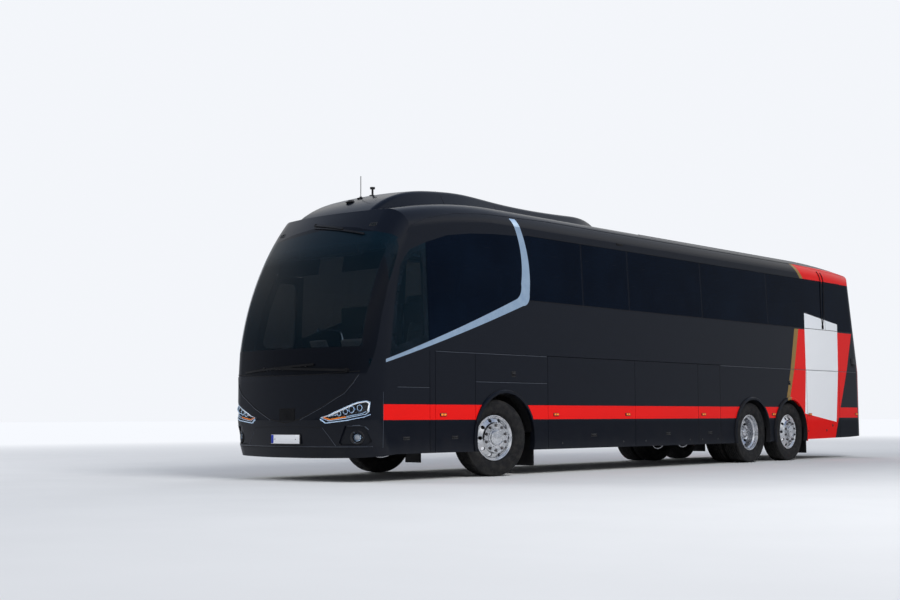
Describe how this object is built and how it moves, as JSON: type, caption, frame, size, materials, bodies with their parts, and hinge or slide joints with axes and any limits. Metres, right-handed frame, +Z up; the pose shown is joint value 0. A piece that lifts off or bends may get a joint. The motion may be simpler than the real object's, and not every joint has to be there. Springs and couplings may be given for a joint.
{
  "type": "coach bus",
  "caption": "Three-axle long-distance coach with a hollow cabin, dark side glazing, outward-gliding doors, lifting luggage flaps, steered front wheels and twin drive wheels.",
  "frame": {"origin": "on the road under the middle of the coach", "axes": "+X towards the coach's left side, -Y forwards, +Z up"},
  "size_m": [2.666, 14.0929, 4.02],
  "materials": {
    "body_paint": "gloss anthracite metallic paint",
    "tyre": "matt",
    "wheel_alloy": "polished",
    "clear_glass": "clear laminated glass with a black border",
    "dark_glass": "dark tinted",
    "bright_trim": "satin bright",
    "lamp_lens": "clear lens over dark reflector",
    "tail_lens": "red lens",
    "seat_cloth": "woven",
    "chassis_steel": "satin black",
    "engine_iron": "painted cast iron",
    "dark_plastic": "grained",
    "floor_cover": "non-slip sheet",
    "rubber": "matt"
  },
  "bodies": {
    "coach_body": {"air_springs": "chassis_steel", "antennas": "dark_plastic", "axles": "chassis_steel", "cabin_floor": "floor_cover", "dashboard": "dark_plastic", "driver_seat": "seat_cloth", "driver_window": "clear_glass", "engine": "engine_iron", "fog_lamps": "lamp_lens", "front_bumper": "body_paint", "front_frame": "chassis_steel", "front_shield": "body_paint", "head_lamps": "lamp_lens", "luggage_hold": "chassis_steel", "marker_lamps": "lamp_lens", "mud_flaps": "rubber", "passenger_seats": "seat_cloth", "rear_bumper": "body_paint", "rear_frame": "chassis_steel", "rear_wall": "body_paint", "rear_window": "dark_glass", "roof": "body_paint", "roof_pod": "body_paint", "side_trims": "bright_trim", "side_wall_left": "body_paint", "side_wall_right": "body_paint", "side_windows": "dark_glass", "tail_lamps": "tail_lens", "windscreen": "clear_glass", "windscreen_frame": "body_paint", "wipers": "dark_plastic"},
    "knuckle_left": {"knuckle_left": "chassis_steel"},
    "knuckle_right": {"knuckle_right": "chassis_steel"},
    "front_wheel_left": {"front_tyre_left": "tyre", "front_rim_left": "wheel_alloy"},
    "front_wheel_right": {"front_tyre_right": "tyre", "front_rim_right": "wheel_alloy"},
    "drive_wheels_left": {"drive_tyres_left": "tyre", "drive_rims_left": "wheel_alloy"},
    "drive_wheels_right": {"drive_tyres_right": "tyre", "drive_rims_right": "wheel_alloy"},
    "tag_wheel_left": {"tag_tyre_left": "tyre", "tag_rim_left": "wheel_alloy"},
    "tag_wheel_right": {"tag_tyre_right": "tyre", "tag_rim_right": "wheel_alloy"},
    "steering_wheel": {"steering_wheel": "dark_plastic"},
    "front_door_arm": {"front_door_arm": "chassis_steel"},
    "front_door": {"front_door": "body_paint", "front_door_glass": "clear_glass"},
    "middle_door_arm": {"middle_door_arm": "chassis_steel"},
    "middle_door": {"middle_door": "body_paint", "middle_door_glass": "dark_glass"},
    "luggage_flap_left_1": {"luggage_flap_left_1": "body_paint"},
    "luggage_flap_left_2": {"luggage_flap_left_2": "body_paint"},
    "luggage_flap_left_3": {"luggage_flap_left_3": "body_paint"},
    "luggage_flap_right_1": {"luggage_flap_right_1": "body_paint"},
    "luggage_flap_right_2": {"luggage_flap_right_2": "body_paint"},
    "engine_hatch": {"engine_hatch": "body_paint"}
  },
  "joints": [
    {"name": "steer_left", "type": "hinge", "parent": "coach_body", "child": "knuckle_left", "pos_m": [0.93, -4.283, 0.512], "axis": [0, 0, 1], "range_deg": [-32, 58]},
    {"name": "steer_right", "type": "hinge", "parent": "coach_body", "child": "knuckle_right", "pos_m": [-0.93, -4.283, 0.512], "axis": [0, 0, 1], "range_deg": [-32, 58]},
    {"name": "front_spin_left", "type": "hinge", "parent": "knuckle_left", "child": "front_wheel_left", "pos_m": [1.0859, -4.31899, 0.512], "axis": [0.9744, -0.225, 0], "continuous": true},
    {"name": "front_spin_right", "type": "hinge", "parent": "knuckle_right", "child": "front_wheel_right", "pos_m": [-1.0859, -4.24701, 0.512], "axis": [0.9744, -0.225, 0], "continuous": true},
    {"name": "drive_spin_left", "type": "hinge", "parent": "coach_body", "child": "drive_wheels_left", "pos_m": [0.9225, 2.532, 0.512], "axis": [1, 0, 0], "continuous": true},
    {"name": "drive_spin_right", "type": "hinge", "parent": "coach_body", "child": "drive_wheels_right", "pos_m": [-0.9225, 2.532, 0.512], "axis": [1, 0, 0], "continuous": true},
    {"name": "tag_spin_left", "type": "hinge", "parent": "coach_body", "child": "tag_wheel_left", "pos_m": [1.09, 3.922, 0.512], "axis": [1, 0, 0], "continuous": true},
    {"name": "tag_spin_right", "type": "hinge", "parent": "coach_body", "child": "tag_wheel_right", "pos_m": [-1.09, 3.922, 0.512], "axis": [1, 0, 0], "continuous": true},
    {"name": "steering_wheel_turn", "type": "hinge", "parent": "coach_body", "child": "steering_wheel", "pos_m": [0.55, -6.013, 1.73], "axis": [0, 0.4695, 0.8829], "range_deg": [-576, 1044]},
    {"name": "front_door_swing", "type": "hinge", "parent": "coach_body", "child": "front_door_arm", "pos_m": [-1.12, -6.423, 1.06], "axis": [0, 0, 1], "range_deg": [0, 90]},
    {"name": "front_door_level", "type": "hinge", "parent": "front_door_arm", "child": "front_door", "pos_m": [-1.12, -5.668, 1.06], "axis": [0, 0, 1], "range_deg": [-90, 0]},
    {"name": "middle_door_swing", "type": "hinge", "parent": "coach_body", "child": "middle_door_arm", "pos_m": [-1.12, 1.387, 1.06], "axis": [0, 0, 1], "range_deg": [-90, 0]},
    {"name": "middle_door_level", "type": "hinge", "parent": "middle_door_arm", "child": "middle_door", "pos_m": [-1.12, 0.827, 1.06], "axis": [0, 0, 1], "range_deg": [0, 90]},
    {"name": "luggage_flap_left_1_lift", "type": "hinge", "parent": "coach_body", "child": "luggage_flap_left_1", "pos_m": [1.272, -2.164, 1.634], "axis": [0, -1, 0], "range_deg": [0, 85]},
    {"name": "luggage_flap_left_2_lift", "type": "hinge", "parent": "coach_body", "child": "luggage_flap_left_2", "pos_m": [1.272, -0.157, 1.634], "axis": [0, -1, 0], "range_deg": [0, 85]},
    {"name": "luggage_flap_left_3_lift", "type": "hinge", "parent": "coach_body", "child": "luggage_flap_left_3", "pos_m": [1.272, 1.1065, 1.634], "axis": [0, -1, 0], "range_deg": [0, 85]},
    {"name": "luggage_flap_right_1_lift", "type": "hinge", "parent": "coach_body", "child": "luggage_flap_right_1", "pos_m": [-1.272, -2.164, 1.634], "axis": [0, 1, 0], "range_deg": [0, 85]},
    {"name": "luggage_flap_right_2_lift", "type": "hinge", "parent": "coach_body", "child": "luggage_flap_right_2", "pos_m": [-1.272, -0.177, 1.634], "axis": [0, 1, 0], "range_deg": [0, 85]},
    {"name": "engine_hatch_lift", "type": "hinge", "parent": "coach_body", "child": "engine_hatch", "pos_m": [0, 7.05, 2.122], "axis": [1, 0, 0], "range_deg": [0, 80]}
  ],
  "couplings": [
    {"joint": "steer_right", "follows": "steer_left", "ratio": 1},
    {"joint": "steering_wheel_turn", "follows": "steer_left", "ratio": 18},
    {"joint": "front_door_level", "follows": "front_door_swing", "ratio": -1},
    {"joint": "middle_door_level", "follows": "middle_door_swing", "ratio": -1}
  ]
}
